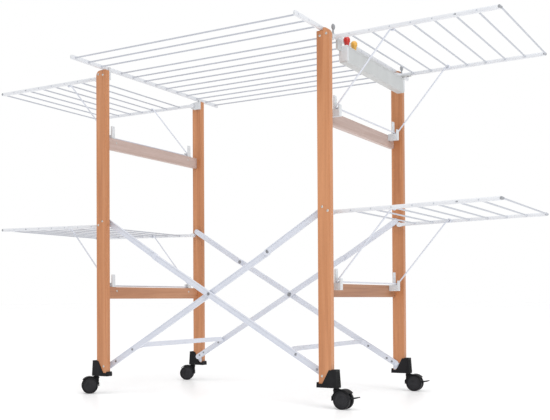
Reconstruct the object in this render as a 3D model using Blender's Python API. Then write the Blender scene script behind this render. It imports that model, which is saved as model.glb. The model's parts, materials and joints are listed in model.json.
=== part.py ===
"""Free-standing folding clothes airer.

Two timber ladder frames on twin-wheel castors, a pair of crossing steel arms with a link at each
end, a wire grid that lies across the posts, four wire wings with wire stays, and a peg box.
Metres, +Z up, wheels on z = 0, centred on the box in X and Y, long side along X.
"""

import math

import bmesh
import bpy
from mathutils import Matrix, Vector

# ---------------------------------------------------------------- driving sizes
SPAN = 0.815            # outer face to outer face of the two ladder frames, opened out
DEPTH = 0.534           # front face of the near posts to the back face of the far posts
POST_HIGH = 0.950       # length of a post, outer half of its top
POST_WIDE = 0.0377      # post section along X
POST_THICK = 0.0192     # post section along Y
LIFT = 0.065            # post foot above the floor
WING_REACH = 0.457      # wing pivot to the tip of its rails
WING_PITCH = 0.0575     # spacing of the wing wires
WING_FIRST = 0.0545     # wing pivot to its first wire
GRID_FRONT = -0.140     # front end of the top grid, measured from the posts' front face
GRID_BACK = 0.635       # back end of the top grid
ARM_HALF = 0.4397       # end pin to centre pin of a crossing arm
ARM_BEYOND = 0.2293     # centre pin to the link rivet
WHEEL_R = 0.025
WIRE_R = 0.0023

# ---------------------------------------------------------------- fits
GAP = 0.0003            # between pieces that touch
BORE_GAP = 0.0004       # round a pin
TURN_GAP = 0.0007       # between faces that slide past each other

# ---------------------------------------------------------------- places that follow
MID_Y = DEPTH / 2
INNER_Y = POST_THICK + GAP
GRID_RAIL_U = 0.0277
GRID_RAIL_WIDE = 0.008
GRID_RAIL_TALL = 0.013
GRID_RAIL_LOW = POST_HIGH - 0.005
POST_NOTCH = GRID_RAIL_LOW - 0.0004
POST_NOTCH_TURN = GRID_RAIL_LOW - 0.0020
UPPER_BAR_TOP = 0.7394
LOWER_BAR_TOP = 0.2674
BAR_TALL = 0.037
BAR_THICK = 0.014
LEFT_BAR_U = 0.005
RIGHT_BAR_U = 0.029
WING_PIVOT = {"upper": (0.0084, 0.930), "lower": (0.0080, 0.459)}
WING_TILT = {"upper": math.radians(0.3), "lower": math.radians(1.0)}
WING_RAIL_Y = (0.027, 0.038)
WING_RAIL_TALL = 0.0105
WING_WIRES = 8
STAY_WIRE = WING_FIRST + 2 * WING_PITCH
STAY_LEG = 0.251
STAY_ANGLE = math.radians(48.0)
STAY_EYE = 0.0050
STAY_Y = 0.0500
HOOK_Y = 0.0620
HOOK_WIDE = 0.015
BASE_U = 0.007
LOW_PIN = (0.0275, 0.0207)
MID_PIN = (0.0237, 0.4713)
ARM_WIDE = 0.018
ARM_THICK = 0.0056
LAYER_1 = INNER_Y + 0.0004
LAYER_2 = LAYER_1 + ARM_THICK + TURN_GAP
STRUT_ALONG = 0.135
STRUT_THICK = 0.0028
STRUT_CLEAR = 0.0004
STEM_U = -0.010
STEM_R = 0.004
TRAIL = 0.021
WIRE_SIDES = 6

ARM_COS = (SPAN / 2 - LOW_PIN[0]) / ARM_HALF
ARM_SIN = math.sqrt(1.0 - ARM_COS ** 2)
CENTRE = (SPAN / 2, LOW_PIN[1] + ARM_HALF * ARM_SIN)

SHIFT = Vector((-SPAN / 2, -(GRID_FRONT + GRID_BACK) / 2, LIFT))

for leftover in list(bpy.data.objects):
    bpy.data.objects.remove(leftover, do_unlink=True)


# ---------------------------------------------------------------- shape helpers
def face_out(bm):
    """Turn every shell of the mesh so that its faces look outwards."""
    bmesh.ops.recalc_face_normals(bm, faces=bm.faces[:])
    seen = set()
    for first in bm.faces:
        if first in seen:
            continue
        seen.add(first)
        shell, front = [first], [first]
        while front:
            face = front.pop()
            for edge in face.edges:
                for other in edge.link_faces:
                    if other not in seen:
                        seen.add(other)
                        shell.append(other)
                        front.append(other)
        home = first.verts[0].co
        volume = 0.0
        for face in shell:
            corners = [v.co - home for v in face.verts]
            for a, b in zip(corners[1:], corners[2:]):
                volume += corners[0].dot(a.cross(b))
        if volume < 0.0:
            bmesh.ops.reverse_faces(bm, faces=shell)


def soften(bm, width, segments=2, limit=30.0):
    """Round off every edge sharper than the limit."""
    sharp = [e for e in bm.edges if len(e.link_faces) == 2 and e.calc_face_angle() > math.radians(limit)]
    bmesh.ops.bevel(bm, geom=sharp, offset=width, segments=segments, profile=0.5,
                    affect="EDGES", clamp_overlap=True)


def block(low, high, edge=0.0, segments=2):
    bm = bmesh.new()
    bmesh.ops.create_cube(bm, size=1.0)
    low, high = Vector(low), Vector(high)
    size = high - low
    bm.transform(Matrix.Translation((low + high) / 2) @ Matrix.Diagonal((size.x, size.y, size.z, 1.0)))
    if edge:
        soften(bm, edge, segments)
    return bm


def plate(outline, axis, low, high, edge=0.0, segments=2):
    """Extrude a closed outline; axis 'Y' takes (x, z), 'X' takes (y, z), 'Z' takes (x, y)."""
    place = {
        "Y": lambda p, h: (p[0], h, p[1]),
        "X": lambda p, h: (h, p[0], p[1]),
        "Z": lambda p, h: (p[0], p[1], h),
    }[axis]
    bm = bmesh.new()
    lower = [bm.verts.new(place(p, low)) for p in outline]
    upper = [bm.verts.new(place(p, high)) for p in outline]
    bm.faces.new(lower)
    bm.faces.new(upper)
    count = len(outline)
    for i in range(count):
        j = (i + 1) % count
        bm.faces.new((lower[i], lower[j], upper[j], upper[i]))
    face_out(bm)
    if edge:
        soften(bm, edge, segments)
    return bm


def arc(cx, cy, r, start, end, steps):
    return [(cx + r * math.cos(math.radians(start + (end - start) * i / steps)),
             cy + r * math.sin(math.radians(start + (end - start) * i / steps))) for i in range(steps + 1)]


def bar_outline(a, b, half, steps=7):
    """Flat bar with round ends between two points."""
    heading = math.degrees(math.atan2(b[1] - a[1], b[0] - a[0]))
    return arc(b[0], b[1], half, heading - 90, heading + 90, steps) + \
        arc(a[0], a[1], half, heading + 90, heading + 270, steps)


def rod(a, b, radius, sides=WIRE_SIDES):
    return wire([a, b], radius, sides)


def wire(points, radius, sides=WIRE_SIDES, loop=False):
    """Sweep a circle along a path without letting it twist."""
    points = [Vector(p) for p in points]
    count = len(points)
    heads = []
    for i in range(count):
        before = points[(i - 1) % count] if loop or i else points[0]
        after = points[(i + 1) % count] if loop or i < count - 1 else points[-1]
        heads.append((after - before).normalized())
    side = heads[0].orthogonal().normalized()
    bm = bmesh.new()
    rings = []
    for i in range(count):
        side = (side - heads[i] * side.dot(heads[i])).normalized()
        other = heads[i].cross(side)
        if loop or 0 < i < count - 1:
            turn = (points[(i + 1) % count] - points[i]).normalized().dot(heads[i])
            stretch = 1.0 / max(turn, 0.5)
        else:
            stretch = 1.0
        bend = None
        if stretch > 1.0001:
            before = (points[i] - points[(i - 1) % count]).normalized()
            after = (points[(i + 1) % count] - points[i]).normalized()
            bend = (before - after).normalized()
        ring = []
        for k in range(sides):
            angle = 2 * math.pi * k / sides
            off = (side * math.cos(angle) + other * math.sin(angle)) * radius
            if bend is not None:
                off += bend * off.dot(bend) * (stretch - 1.0)
            ring.append(bm.verts.new(points[i] + off))
        rings.append(ring)
    last = count if loop else count - 1
    for i in range(last):
        one, two = rings[i], rings[(i + 1) % count]
        for k in range(sides):
            m = (k + 1) % sides
            bm.faces.new((one[k], one[m], two[m], two[k]))
    if not loop:
        bm.faces.new(rings[0])
        bm.faces.new(rings[-1])
    face_out(bm)
    return bm


def rounded(points, radius, steps=4):
    """Swing round the corners of an open path."""
    points = [Vector(p) for p in points]
    out = [points[0]]
    for before, corner, after in zip(points, points[1:], points[2:]):
        one, two = (before - corner).normalized(), (after - corner).normalized()
        half = one.angle(two) / 2
        back = radius / math.tan(half)
        middle = corner + (one + two).normalized() * (radius / math.sin(half))
        start, end = corner + one * back - middle, corner + two * back - middle
        spread = start.angle(end)
        for i in range(steps + 1):
            t = i / steps
            out.append(middle + (start * math.sin((1 - t) * spread) + end * math.sin(t * spread))
                       / math.sin(spread))
    out.append(points[-1])
    return out


def turned(profile, sides=28):
    """Lathe (along, radius) pairs about the Y axis; the two end radii are zero."""
    bm = bmesh.new()
    rings = []
    for along, radius in profile:
        if radius < 1e-6:
            rings.append([bm.verts.new((0.0, along, 0.0))])
        else:
            rings.append([bm.verts.new((radius * math.cos(2 * math.pi * k / sides), along,
                                        radius * math.sin(2 * math.pi * k / sides))) for k in range(sides)])
    for one, two in zip(rings, rings[1:]):
        for k in range(sides):
            m = (k + 1) % sides
            if len(one) == 1:
                bm.faces.new((one[0], two[k], two[m]))
            elif len(two) == 1:
                bm.faces.new((one[k], one[m], two[0]))
            else:
                bm.faces.new((one[k], one[m], two[m], two[k]))
    face_out(bm)
    return bm


def rail_bar(x, low, high, wide, tall, cut, stations):
    """Bar along Y with bevelled long edges, divided at the given stations."""
    w, h = wide / 2, tall / 2
    section = [(w, -h + cut), (w, h - cut), (w - cut, h), (-w + cut, h),
               (-w, h - cut), (-w, -h + cut), (-w + cut, -h), (w - cut, -h)]
    places = [(low, 1.0 - cut / w), (low + cut, 1.0)] + [(y, 1.0) for y in stations] + \
        [(high - cut, 1.0), (high, 1.0 - cut / w)]
    bm = bmesh.new()
    rings = []
    for y, scale in places:
        fit = 1.0 if scale == 1.0 else 1.0 - cut / h
        rings.append([bm.verts.new((x[0] + px * scale, y, x[1] + pz * fit)) for px, pz in section])
    for one, two in zip(rings, rings[1:]):
        for k in range(8):
            m = (k + 1) % 8
            bm.faces.new((one[k], one[m], two[m], two[k]))
    bm.faces.new(rings[0])
    bm.faces.new(rings[-1])
    face_out(bm)
    return bm


def together(*parts):
    """Put pieces that do not touch each other in one mesh."""
    bm = bmesh.new()
    for part in parts:
        mesh = bpy.data.meshes.new("hold")
        part.to_mesh(mesh)
        part.free()
        bm.from_mesh(mesh)
        bpy.data.meshes.remove(mesh)
    return bm


def moved(bm, matrix):
    bm.transform(matrix)
    face_out(bm)
    return bm


def raw_object(name, bm):
    mesh = bpy.data.meshes.new(name)
    bmesh.ops.triangulate(bm, faces=[f for f in bm.faces if len(f.verts) > 4])
    bm.to_mesh(mesh)
    bm.free()
    obj = bpy.data.objects.new(name, mesh)
    bpy.context.scene.collection.objects.link(obj)
    return obj


MATERIALS = {}


def material(name, colour, rough, metal=0.0):
    mat = bpy.data.materials.new(name)
    mat.use_nodes = True
    shader = mat.node_tree.nodes["Principled BSDF"]
    shader.inputs["Base Color"].default_value = (*colour, 1.0)
    shader.inputs["Roughness"].default_value = rough
    shader.inputs["Metallic"].default_value = metal
    mat.diffuse_color = (*colour, 1.0)
    MATERIALS[name] = mat


material("beech", (0.58, 0.29, 0.13), 0.5)
material("coated_steel", (0.86, 0.87, 0.88), 0.35, 0.1)
material("coated_wire", (0.84, 0.85, 0.86), 0.35, 0.1)
material("white_plastic", (0.82, 0.83, 0.83), 0.45)
material("grey_plastic", (0.50, 0.52, 0.52), 0.45)
material("black_plastic", (0.018, 0.018, 0.020), 0.4)
material("wheel_plastic", (0.022, 0.022, 0.024), 0.35)
material("bright_pin", (0.45, 0.45, 0.46), 0.35, 0.9)
material("red_plastic", (0.55, 0.012, 0.008), 0.35)
material("yellow_plastic", (0.70, 0.40, 0.05), 0.35)


def node(name, finish, bodies, cuts=(), origin=None, angle=32.0, shift=True):
    """Fuse the bodies, take the cuts away, and set the object's origin."""
    obj = raw_object(name, bodies[0])
    tools = []
    for operation, parts in (("UNION", bodies[1:]), ("DIFFERENCE", cuts)):
        for part in parts:
            tool = raw_object(name + "_tool", part)
            step = obj.modifiers.new("step", "BOOLEAN")
            step.operation = operation
            step.solver = "EXACT"
            step.object = tool
            tools.append(tool)
    if tools:
        graph = bpy.context.evaluated_depsgraph_get()
        made = bpy.data.meshes.new_from_object(obj.evaluated_get(graph))
        obj.modifiers.clear()
        plain = obj.data
        obj.data = made
        bpy.data.meshes.remove(plain)
        for tool in tools:
            bpy.data.objects.remove(tool, do_unlink=True)
    bm = bmesh.new()
    bm.from_mesh(obj.data)
    bmesh.ops.remove_doubles(bm, verts=bm.verts[:], dist=0.00001)
    home = Vector(origin) if origin is not None else Vector((0.0, 0.0, 0.0))
    bm.transform(Matrix.Translation((SHIFT if shift else Vector((0, 0, 0))) - home))
    face_out(bm)
    bm.to_mesh(obj.data)
    bm.free()
    obj.data.name = name
    obj.location = home
    obj.data.materials.clear()
    obj.data.materials.append(MATERIALS[finish])
    obj.data.shade_smooth()
    obj.data.set_sharp_from_angle(angle=math.radians(angle))
    return obj


def world(x, y, z):
    return Vector((x, y, z)) + SHIFT


def mirror_x(bm):
    return moved(bm, Matrix.Translation((SPAN, 0, 0)) @ Matrix.Diagonal((-1.0, 1.0, 1.0, 1.0)))


def mirror_y(bm):
    return moved(bm, Matrix.Translation((0, DEPTH, 0)) @ Matrix.Diagonal((1.0, -1.0, 1.0, 1.0)))


def to_place(bm, side, row):
    """Carry a piece drawn for the near left corner to its own corner."""
    if side == "right":
        bm = mirror_x(bm)
    if row == "far":
        bm = mirror_y(bm)
    return bm


def side_x(side, u):
    return u if side == "left" else SPAN - u


def row_y(row, y):
    return y if row == "near" else DEPTH - y


SIDES = ("left", "right")
ROWS = ("near", "far")
LEVELS = ("upper", "lower")

# ---------------------------------------------------------------- ladder frames
POST_ROUND = 0.016
POST_STEP_U = 0.0190
for side in SIDES:
    notch = POST_NOTCH if side == "left" else POST_NOTCH_TURN
    top = POST_NOTCH if side == "left" else POST_HIGH
    for row in ROWS:
        outline = [(0.0, 0.0), (POST_WIDE, 0.0), (POST_WIDE, notch)]
        if side == "right":
            outline += [(POST_STEP_U, notch), (POST_STEP_U, top)]
        outline += arc(POST_ROUND, top - POST_ROUND, POST_ROUND, 90, 180, 8)
        body = plate(outline, "Y", 0.0, POST_THICK, 0.0009)
        node("post_%s_%s" % (side, row), "beech", [to_place(body, side, row)])

for side in SIDES:
    u = LEFT_BAR_U if side == "left" else RIGHT_BAR_U
    for level in LEVELS:
        top = UPPER_BAR_TOP if level == "upper" else LOWER_BAR_TOP
        body = block((u, INNER_Y, top - BAR_TALL), (u + BAR_THICK, DEPTH - INNER_Y, top), 0.0012)
        node("crossbar_%s_%s" % (side, level), "beech", [to_place(body, side, "near")])

# hook brackets: a slot for the foot of the stay between a short lip and a tall finger
FINGER = (0.0115, 0.0165)
FINGER_TALL = 0.040
LIP = (-0.0025, 0.0020)
LIP_TALL = 0.014
FLOOR = 0.0015
SKIRT = 0.018
for side in SIDES:
    for level in LEVELS:
        top = UPPER_BAR_TOP if level == "upper" else LOWER_BAR_TOP
        if side == "left":
            outline = [(LIP[0], -SKIRT), (LEFT_BAR_U - GAP, -SKIRT), (LEFT_BAR_U - GAP, GAP),
                       (LEFT_BAR_U + BAR_THICK, GAP), (LEFT_BAR_U + BAR_THICK, FLOOR)]
        else:
            outline = [(LIP[0], -SKIRT), (RIGHT_BAR_U - GAP, -SKIRT), (RIGHT_BAR_U - GAP, FLOOR)]
        outline += [(FINGER[1] + 0.0015, FLOOR), (FINGER[1], FLOOR + 0.002), (FINGER[1] - 0.0008, FINGER_TALL),
                    (FINGER[0] + 0.0008, FINGER_TALL), (FINGER[0], FLOOR), (LIP[1], FLOOR),
                    (LIP[1] - 0.0008, LIP_TALL), (LIP[0], LIP_TALL)]
        outline = [(u, z + top) for u, z in outline]
        for row in ROWS:
            body = plate(outline, "Y", HOOK_Y - HOOK_WIDE / 2, HOOK_Y + HOOK_WIDE / 2, 0.0004, 1)
            node("hook_%s_%s_%s" % (side, level, row), "white_plastic", [to_place(body, side, row)])

# ---------------------------------------------------------------- feet and castors
PLATE_LOW = -0.010
BLOCK_U = (-0.0180, -GAP)
BLOCK_TALL = 0.038
CHEEK = 0.0027
PLATE_END = 0.0435
for side in SIDES:
    for row in ROWS:
        base = block((BLOCK_U[0], -CHEEK, PLATE_LOW), (PLATE_END, POST_THICK + CHEEK, -GAP), 0.0008)
        tower = plate([(BLOCK_U[0], PLATE_LOW + 0.003), (BLOCK_U[1], PLATE_LOW + 0.003), (BLOCK_U[1], BLOCK_TALL),
                       (BLOCK_U[0] + 0.0035, BLOCK_TALL)], "Y", -CHEEK, POST_THICK + CHEEK)
        lip = block((PLATE_END - 0.0042, -CHEEK + 0.0004, PLATE_LOW + 0.002),
                    (PLATE_END - 0.0004, POST_THICK + CHEEK - 0.0004, 0.0042), 0.0005)
        slope = [(BLOCK_U[0] + 0.0060, BLOCK_TALL - 0.0009), (BLOCK_U[0] + 0.0020, PLATE_LOW + 0.0016),
                 (0.030, PLATE_LOW + 0.0016), (0.027, -0.0007), (0.0065, BLOCK_TALL - 0.0009)]
        front = plate(slope, "Y", -CHEEK + 0.0004, -GAP)
        back = plate(slope, "Y", POST_THICK + GAP, POST_THICK + CHEEK - 0.0004)
        bore = rod((STEM_U, POST_THICK / 2, PLATE_LOW - 0.01), (STEM_U, POST_THICK / 2, 0.0215),
                   STEM_R + BORE_GAP, 20)
        bodies = [to_place(b, side, row) for b in (base, tower, lip, front, back)]
        node("foot_%s_%s" % (side, row), "black_plastic", bodies, [to_place(bore, side, row)])

SWIVEL = {("left", "near"): 225.0, ("left", "far"): 211.0, ("right", "near"): -4.0, ("right", "far"): 3.0}
WHEEL_IN = 0.0045
WHEEL_OUT = 0.0145
AXLE_R = 0.003
FENDER = (0.0262, 0.0282)
HEAD_TOP = LIFT + PLATE_LOW - TURN_GAP


def wheel_pair():
    half = [(WHEEL_OUT - 0.0022, 0.0), (WHEEL_OUT - 0.0022, 0.0160), (WHEEL_OUT, 0.0175),
            (WHEEL_OUT, 0.0225), (WHEEL_OUT - 0.0022, WHEEL_R), (WHEEL_IN, WHEEL_R), (WHEEL_IN, AXLE_R)]
    profile = [(-y, r) for y, r in half] + [(y, r) for y, r in reversed(half)]
    return turned(profile, 24)


def castor_frame():
    x, z = TRAIL, WHEEL_R
    web = [(-0.0075, HEAD_TOP - 0.0005), (-0.0075, 0.037), (-0.001, 0.021), (0.013, 0.0145), (0.027, 0.0145),
           (0.0292, 0.030), (0.0205, 0.0505), (0.0075, HEAD_TOP - 0.0005)]
    body = plate(web, "Y", -0.0036, 0.0036, 0.0004, 1)
    hood = [(x + px, z + pz) for px, pz in arc(0, 0, FENDER[1], 64, 178, 10) + arc(0, 0, FENDER[0], 178, 64, 10)]
    fender = plate(hood, "Y", -0.0135, 0.0135, 0.0004, 1)
    boss = rod((0, 0, 0.0478), (0, 0, HEAD_TOP), 0.0076, 20)
    stem = rod((0, 0, 0.050), (0, 0, LIFT + 0.0205), STEM_R, 16)
    bore = rod((x, -0.01, z), (x, 0.01, z), AXLE_R + BORE_GAP, 16)
    return [body, fender, boss, stem], [bore]


def brake_lever():
    outline = arc(BRAKE_PIN[0], BRAKE_PIN[1], 0.0036, 90, 270, 6) + \
        [(0.0480, 0.0275), (0.0640, 0.0312), (0.0640, 0.0342), (0.0480, 0.0325)]
    arm = plate(outline, "Y", -0.0036, 0.0036, 0.0004, 1)
    tab = plate([(0.0478, 0.0288), (0.0650, 0.0318), (0.0650, 0.0348), (0.0478, 0.0318)], "Y",
                -0.0125, 0.0125, 0.0007, 1)
    return [arm, tab]


BRAKE_PIN = (0.0368, 0.0305)
for side in SIDES:
    for row in ROWS:
        spot = world(side_x(side, STEM_U), row_y(row, POST_THICK / 2), -LIFT)
        turn = Matrix.Translation(spot) @ Matrix.Rotation(math.radians(SWIVEL[side, row]), 4, "Z")
        solids, bores = castor_frame()
        node("castor_fork_%s_%s" % (side, row), "black_plastic", [moved(b, turn) for b in solids],
             [moved(b, turn) for b in bores], origin=spot, shift=False)
        hub = turn @ Vector((TRAIL, 0, WHEEL_R))
        wheels = moved(wheel_pair(), turn @ Matrix.Translation((TRAIL, 0, WHEEL_R)))
        node("castor_wheels_%s_%s" % (side, row), "wheel_plastic", [wheels], origin=hub, shift=False)
        if side == "right":
            pin = turn @ Vector((BRAKE_PIN[0], 0, BRAKE_PIN[1]))
            node("brake_lever_%s_%s" % (side, row), "black_plastic", [moved(b, turn) for b in brake_lever()],
                 origin=pin, shift=False)


# ---------------------------------------------------------------- wings and stays
def wing_matrix(side, level):
    """Local X runs out along the wing, local Z is its upper face, Y is unchanged."""
    u, z = WING_PIVOT[level]
    tilt = WING_TILT[level]
    if side == "left":
        out, up = Vector((-math.cos(tilt), 0, math.sin(tilt))), Vector((math.sin(tilt), 0, math.cos(tilt)))
    else:
        out, up = Vector((math.cos(tilt), 0, math.sin(tilt))), Vector((-math.sin(tilt), 0, math.cos(tilt)))
    basis = Matrix(((out.x, 0, up.x, 0), (out.y, 1, up.y, 0), (out.z, 0, up.z, 0), (0, 0, 0, 1)))
    return Matrix.Translation((side_x(side, u), 0, z)) @ basis


def wing_rail():
    r = 0.0075
    h = WING_RAIL_TALL / 2
    outline = arc(0, 0, r, 60, 300, 12) + [(0.014, -h), (WING_REACH - 0.004, -h), (WING_REACH, -h + 0.004),
                                           (WING_REACH, h - 0.004), (WING_REACH - 0.004, h), (0.014, h)]
    return plate(outline, "Y", WING_RAIL_Y[0], WING_RAIL_Y[1], 0.0012)


for side in SIDES:
    for level in LEVELS:
        place = wing_matrix(side, level)
        near_rail = wing_rail()
        far_rail = mirror_y(wing_rail())
        bodies = [together(near_rail, far_rail)]
        wires = []
        for k in range(WING_WIRES):
            d = WING_FIRST + k * WING_PITCH
            wires.append(rod((d, WING_RAIL_Y[0] + 0.004, 0), (d, DEPTH - WING_RAIL_Y[0] - 0.004, 0), WIRE_R))
        bodies.append(together(*wires))
        if level == "lower":
            boss = rod((0, INNER_Y + 0.0003, 0), (0, WING_RAIL_Y[0] + 0.001, 0), 0.0068, 20)
            bodies.append(together(boss, mirror_y(rod((0, INNER_Y + 0.0003, 0), (0, WING_RAIL_Y[0] + 0.001, 0),
                                                      0.0068, 20))))
        u, z = WING_PIVOT[level]
        node("wing_%s_%s" % (side, level), "coated_wire", [moved(b, place) for b in bodies],
             origin=world(side_x(side, u), MID_Y, z))

for side in SIDES:
    for level in LEVELS:
        place = wing_matrix(side, level)
        tilt = WING_TILT[level]
        heading = math.pi + STAY_ANGLE + tilt
        along = Vector((math.cos(heading), 0, math.sin(heading)))
        start = Vector((-along.z, 0, along.x)) * -STAY_EYE
        centre = Vector((STAY_WIRE, 0, 0))
        top_of_leg = centre + start - along * 0.0009
        bar_top = UPPER_BAR_TOP if level == "upper" else LOWER_BAR_TOP
        foot = place.inverted() @ Vector((side_x(side, BASE_U), 0, bar_top + FLOOR + 0.0005 + WIRE_R))
        near, far = Vector((0, STAY_Y, 0)), Vector((0, DEPTH - STAY_Y, 0))
        path = rounded([top_of_leg + near, foot + near, foot + far, top_of_leg + far], 0.0055, 3)
        loop = wire(path, WIRE_R)
        eyes = []
        for y in (STAY_Y, DEPTH - STAY_Y):
            ring = [(centre.x + STAY_EYE * math.cos(a), y, centre.z + STAY_EYE * math.sin(a))
                    for a in (heading + 0.2 + 2 * math.pi * i / 12 for i in range(12))]
            eyes.append(wire(ring, WIRE_R * 0.92, 6, loop=True))
        hinge = place @ Vector((STAY_WIRE, MID_Y, 0)) + SHIFT
        node("stay_%s_%s" % (side, level), "coated_wire",
             [moved(loop, place), moved(together(*eyes), place)], origin=hinge)


# ---------------------------------------------------------------- crossing arms, links and ties
def channel(a, b, low, high, holes=(), outer="low"):
    """Pressed bar: flat web with a shallow raised edge on its outer face."""
    body = plate(bar_outline(a, b, ARM_WIDE / 2), "Y", low, high, 0.0005, 1)
    a_in = (a[0] + (b[0] - a[0]) * 0.02, a[1] + (b[1] - a[1]) * 0.02)
    b_in = (b[0] + (a[0] - b[0]) * 0.02, b[1] + (a[1] - b[1]) * 0.02)
    tray = bar_outline(a_in, b_in, ARM_WIDE / 2 - 0.0026, 5)
    if outer == "low":
        cuts = [plate(tray, "Y", low - 0.001, low + 0.0012)]
    else:
        cuts = [plate(tray, "Y", high - 0.0012, high + 0.001)]
    for x, z, r in holes:
        cuts.append(rod((x, low - 0.004, z), (x, high + 0.004, z), r, 16))
    return body, cuts


CENTRE_R = 0.0040
HOLE = (CENTRE[0], CENTRE[1], CENTRE_R + BORE_GAP)
RIVET_END = ARM_HALF + ARM_BEYOND
A_LOW = (SPAN - LOW_PIN[0], LOW_PIN[1])
A_TOP = (A_LOW[0] - RIVET_END * ARM_COS, A_LOW[1] + RIVET_END * ARM_SIN)
B_LOW = LOW_PIN
B_TOP = (B_LOW[0] + RIVET_END * ARM_COS, B_LOW[1] + RIVET_END * ARM_SIN)
MID_LEFT = MID_PIN
MID_RIGHT = (SPAN - MID_PIN[0], MID_PIN[1])


def spacer(spot):
    return rod((spot[0], INNER_Y + 0.0002, spot[1]), (spot[0], LAYER_2 + 0.001, spot[1]), 0.0055, 18)


def row_piece(name, row, body, cuts, extra=(), origin=None):
    bodies = [body] + list(extra)
    if row == "far":
        bodies = [mirror_y(b) for b in bodies]
        cuts = [mirror_y(c) for c in cuts]
    node(name, "coated_steel", bodies, cuts, origin=origin)


for row in ROWS:
    body, cuts = channel(A_LOW, A_TOP, LAYER_1, LAYER_1 + ARM_THICK, [HOLE])
    row_piece("arm_a_%s" % row, row, body, cuts, origin=world(CENTRE[0], MID_Y, CENTRE[1]))
    body, cuts = channel(B_LOW, B_TOP, LAYER_2, LAYER_2 + ARM_THICK, [HOLE])
    row_piece("arm_b_%s" % row, row, body, cuts, [spacer(B_LOW)], origin=world(B_LOW[0], MID_Y, B_LOW[1]))
    body, cuts = channel(MID_LEFT, A_TOP, LAYER_2, LAYER_2 + ARM_THICK)
    row_piece("link_left_%s" % row, row, body, cuts, [spacer(MID_LEFT)],
              origin=world(MID_LEFT[0], MID_Y, MID_LEFT[1]))
    body, cuts = channel(MID_RIGHT, B_TOP, LAYER_1, LAYER_1 + ARM_THICK)
    row_piece("link_right_%s" % row, row, body, cuts, origin=world(MID_RIGHT[0], MID_Y, MID_RIGHT[1]))
    low = INNER_Y + 0.0002
    high = LAYER_2 + ARM_THICK + 0.0022
    shaft = rod((CENTRE[0], low - 0.0001, CENTRE[1]), (CENTRE[0], high, CENTRE[1]), CENTRE_R, 16)
    cap = rod((CENTRE[0], LAYER_2 + ARM_THICK + 0.0004, CENTRE[1]), (CENTRE[0], high, CENTRE[1]), 0.0068, 16)
    parts = [shaft, cap]
    if row == "far":
        parts = [mirror_y(p) for p in parts]
    node("centre_pin_%s" % row, "bright_pin", parts, origin=world(CENTRE[0], MID_Y, CENTRE[1]))


def tie(low_pin, toward, layer):
    """U-shaped strap lying inside the two arms of one frame and crossing between them."""
    face = layer + ARM_THICK + STRUT_CLEAR
    t = STRUT_THICK
    bend = 0.020
    outer = [(0.004, face), (STRUT_ALONG - bend, face)] + \
        [(STRUT_ALONG - bend + s, face + bend - c) for s, c in
         ((bend * math.sin(math.radians(a)), bend * math.cos(math.radians(a))) for a in (18, 36, 54, 72, 90))]
    inner = [(0.004, face + t), (STRUT_ALONG - bend, face + t)] + \
        [(STRUT_ALONG - bend + s, face + bend - c) for s, c in
         (((bend - t) * math.sin(math.radians(a)), (bend - t) * math.cos(math.radians(a)))
          for a in (18, 36, 54, 72, 90))]
    outer += [(s, DEPTH - y) for s, y in reversed(outer)]
    inner += [(s, DEPTH - y) for s, y in reversed(inner)]
    outline = outer + list(reversed(inner))
    body = plate(outline, "Z", -ARM_WIDE / 2 + 0.0012, ARM_WIDE / 2 - 0.0012, 0.0004, 1)
    lift = math.atan2(ARM_SIN, ARM_COS * toward)
    basis = Matrix.Translation((low_pin[0], 0, low_pin[1])) @ Matrix.Rotation(-lift, 4, "Y")
    return moved(body, basis)


node("tie_a", "coated_steel", [tie(A_LOW, -1, LAYER_1)], origin=world(CENTRE[0], MID_Y, CENTRE[1]))
node("tie_b", "coated_steel", [tie(B_LOW, 1, LAYER_2)], origin=world(B_LOW[0], MID_Y, B_LOW[1]))

# ---------------------------------------------------------------- top grid and its clips
GRID_WIRE_Z = GRID_RAIL_LOW + 0.0062
GRID_WIRES = [GRID_FRONT + 0.015, GRID_FRONT + 0.072, GRID_FRONT + 0.129]
BACK_WIRES = 10
BACK_FIRST = 0.083
BACK_PITCH = (GRID_BACK - 0.022 - BACK_FIRST) / (BACK_WIRES - 1)
for k in range(BACK_WIRES):
    GRID_WIRES.append(BACK_FIRST + k * BACK_PITCH)
BETWEEN = [(one + two) / 2 for one, two in zip(GRID_WIRES, GRID_WIRES[1:])]
rails = [rail_bar((side_x(side, GRID_RAIL_U), GRID_RAIL_LOW + GRID_RAIL_TALL / 2), GRID_FRONT, GRID_BACK,
                  GRID_RAIL_WIDE, GRID_RAIL_TALL, 0.0014, BETWEEN) for side in SIDES]
BITE = 0.0013
wires = [rod((side_x("left", GRID_RAIL_U) - BITE, y, GRID_WIRE_Z),
             (side_x("right", GRID_RAIL_U) + BITE, y, GRID_WIRE_Z), WIRE_R) for y in GRID_WIRES]
node("top_grid", "coated_wire", [rails[0]] + wires + [rails[1]],
     origin=world(SPAN - GRID_RAIL_U, MID_Y, GRID_RAIL_LOW + GRID_RAIL_TALL / 2))

HUB_R = 0.0115
CLIP_Y = (INNER_Y, WING_RAIL_Y[0] - GAP)
for side in SIDES:
    for row in ROWS:
        u, z = WING_PIVOT["upper"]
        hub = rod((u, CLIP_Y[0], z), (u, CLIP_Y[1], z), HUB_R, 20)
        base = block((u + 0.002, CLIP_Y[0], 0.9165), (POST_WIDE - 0.0005, CLIP_Y[1], POST_NOTCH_TURN), 0.0006)
        bodies = [hub, base]
        if side == "left":
            bodies.append(block((GRID_RAIL_U + GRID_RAIL_WIDE / 2 + 0.0010, CLIP_Y[0] + 0.0002, 0.934),
                                (POST_WIDE - 0.0005, CLIP_Y[1] - 0.0002, 0.9565), 0.0006))
        node("top_clip_%s_%s" % (side, row), "white_plastic", [to_place(b, side, row) for b in bodies])

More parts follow.
